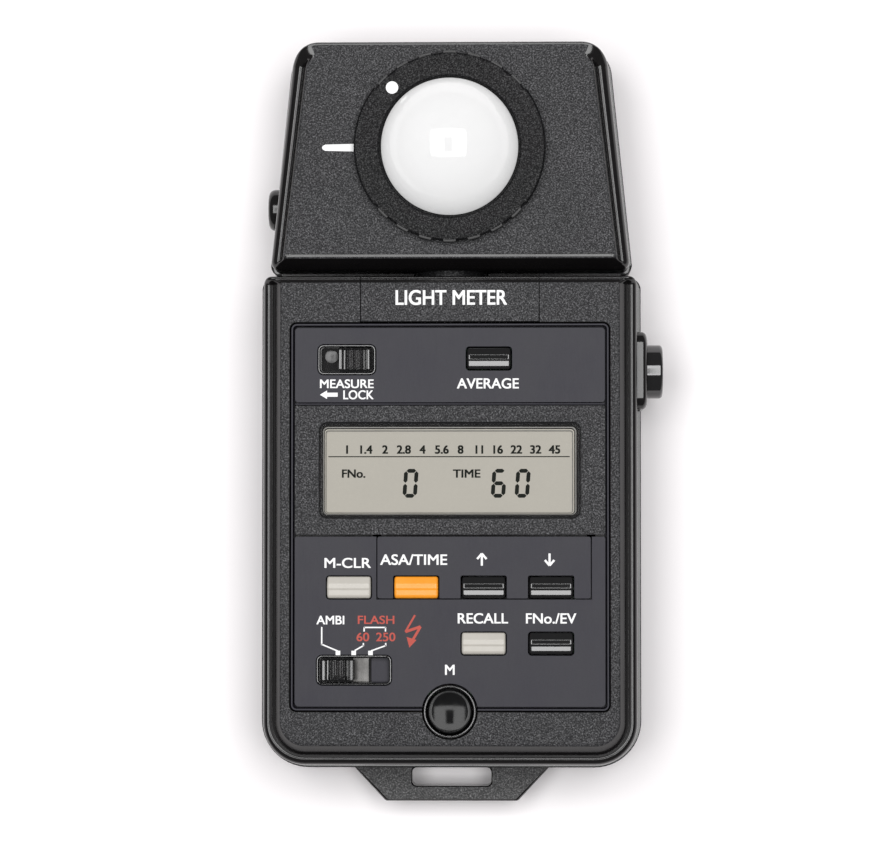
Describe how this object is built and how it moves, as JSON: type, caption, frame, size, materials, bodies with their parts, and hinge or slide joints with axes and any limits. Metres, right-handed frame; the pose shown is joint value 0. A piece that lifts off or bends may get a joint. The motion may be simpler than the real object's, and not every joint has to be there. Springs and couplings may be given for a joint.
{
  "type": "handheld light meter",
  "caption": "Handheld light meter: flat black case with display, keys and slide switches, a swivelling head with a white dome diffuser in a turning ring, side button and strap lug.",
  "frame": {"origin": "middle of the flat back of the case, on its centre plane, with the meter lying on its back", "axes": "+Y runs from the strap lug to the swivelling head, +X to the right as seen from the front, +Z out of the display and along the dome diffuser"},
  "size_m": [0.0804, 0.1518, 0.0386],
  "materials": {
    "grained_black": "leather-grain moulded",
    "smooth_black": "fine satin",
    "gloss_black": "polished",
    "light_grey": "satin",
    "orange": "satin",
    "opal_white": "translucent satin",
    "clear": "clear",
    "display_grey": "satin",
    "board_green": "solder mask",
    "steel": "plain",
    "brass": "plain",
    "rubber_grey": "matte"
  },
  "bodies": {
    "body": {"rear_case": "grained_black", "front_case": "grained_black", "swivel_cover": "grained_black", "swivel_bearing": "steel", "panel_frame": "smooth_black", "upper_control_panel": "smooth_black", "display_bezel": "grained_black", "lower_control_panel": "smooth_black", "key_field_plate": "smooth_black", "lock_switch_bezel": "smooth_black", "mode_switch_bezel": "smooth_black", "memory_button_ring": "gloss_black", "button_collar": "smooth_black", "strap_lug": "grained_black", "lcd_window": "clear", "lcd_glass": "display_grey", "lcd_reflector": "light_grey", "upper_connector_strip": "rubber_grey", "lower_connector_strip": "rubber_grey", "main_circuit_board": "board_green", "processor_chip": "gloss_black", "key_mat": "rubber_grey", "average_switch": "rubber_grey", "measuring_switch": "gloss_black", "battery": "steel", "battery_contact": "brass", "battery_spring": "steel", "case_screw_1": "steel", "case_screw_2": "steel", "case_screw_3": "steel", "case_screw_4": "steel"},
    "head": {"head_front_case": "grained_black", "head_rear_case": "grained_black", "swivel_neck": "smooth_black", "neck_retainer": "steel", "receptor_base": "smooth_black", "photocell": "display_grey", "correction_filter": "clear", "sensor_board": "board_green", "sync_terminal": "brass", "head_screw_1": "steel", "head_screw_2": "steel", "head_screw_3": "steel", "head_screw_4": "steel"},
    "diffuser": {"diffuser_ring": "smooth_black", "dome_diffuser": "opal_white"},
    "measuring_button_body": {"measuring_button": "gloss_black"},
    "memory_button_body": {"memory_button": "gloss_black"},
    "lock_slider_body": {"measure_lock_slider": "gloss_black"},
    "mode_slider_body": {"mode_slider": "gloss_black"},
    "battery_door_body": {"battery_door": "grained_black"},
    "average_key_body": {"average_key": "gloss_black"},
    "memory_clear_key_body": {"memory_clear_key": "light_grey"},
    "speed_key_body": {"speed_key": "orange"},
    "up_key_body": {"up_key": "gloss_black"},
    "down_key_body": {"down_key": "gloss_black"},
    "recall_key_body": {"recall_key": "light_grey"},
    "f_number_key_body": {"f_number_key": "gloss_black"}
  },
  "joints": [
    {"name": "head_swivel", "type": "hinge", "parent": "body", "child": "head", "pos_m": [0, 0.0297, 0.0125], "axis": [0, 1, 0], "range_deg": [-90, 180]},
    {"name": "diffuser_twist", "type": "hinge", "parent": "head", "child": "diffuser", "pos_m": [0, 0.0543, 0.0253], "axis": [0, 0, 1], "range_deg": [0, 46]},
    {"name": "measuring_button_press", "type": "slide", "parent": "body", "child": "measuring_button_body", "axis": [-1, 0, 0], "range_m": [0, 0.002], "stiffness_N_per_m": 900},
    {"name": "memory_button_press", "type": "slide", "parent": "body", "child": "memory_button_body", "axis": [0, 0, -1], "range_m": [0, 0.0008], "stiffness_N_per_m": 1500},
    {"name": "average_key_press", "type": "slide", "parent": "body", "child": "average_key_body", "axis": [0, 0, -1], "range_m": [0, 0.0008], "stiffness_N_per_m": 1500},
    {"name": "memory_clear_key_press", "type": "slide", "parent": "body", "child": "memory_clear_key_body", "axis": [0, 0, -1], "range_m": [0, 0.0008], "stiffness_N_per_m": 1500},
    {"name": "speed_key_press", "type": "slide", "parent": "body", "child": "speed_key_body", "axis": [0, 0, -1], "range_m": [0, 0.0008], "stiffness_N_per_m": 1500},
    {"name": "up_key_press", "type": "slide", "parent": "body", "child": "up_key_body", "axis": [0, 0, -1], "range_m": [0, 0.0008], "stiffness_N_per_m": 1500},
    {"name": "down_key_press", "type": "slide", "parent": "body", "child": "down_key_body", "axis": [0, 0, -1], "range_m": [0, 0.0008], "stiffness_N_per_m": 1500},
    {"name": "recall_key_press", "type": "slide", "parent": "body", "child": "recall_key_body", "axis": [0, 0, -1], "range_m": [0, 0.0008], "stiffness_N_per_m": 1500},
    {"name": "f_number_key_press", "type": "slide", "parent": "body", "child": "f_number_key_body", "axis": [0, 0, -1], "range_m": [0, 0.0008], "stiffness_N_per_m": 1500},
    {"name": "measure_lock_slide", "type": "slide", "parent": "body", "child": "lock_slider_body", "axis": [-1, 0, 0], "range_m": [0, 0.0033]},
    {"name": "mode_slide", "type": "slide", "parent": "body", "child": "mode_slider_body", "axis": [1, 0, 0], "range_m": [0, 0.0065]},
    {"name": "battery_door_slide", "type": "slide", "parent": "body", "child": "battery_door_body", "axis": [0, -1, 0], "range_m": [0, 0.006]}
  ]
}
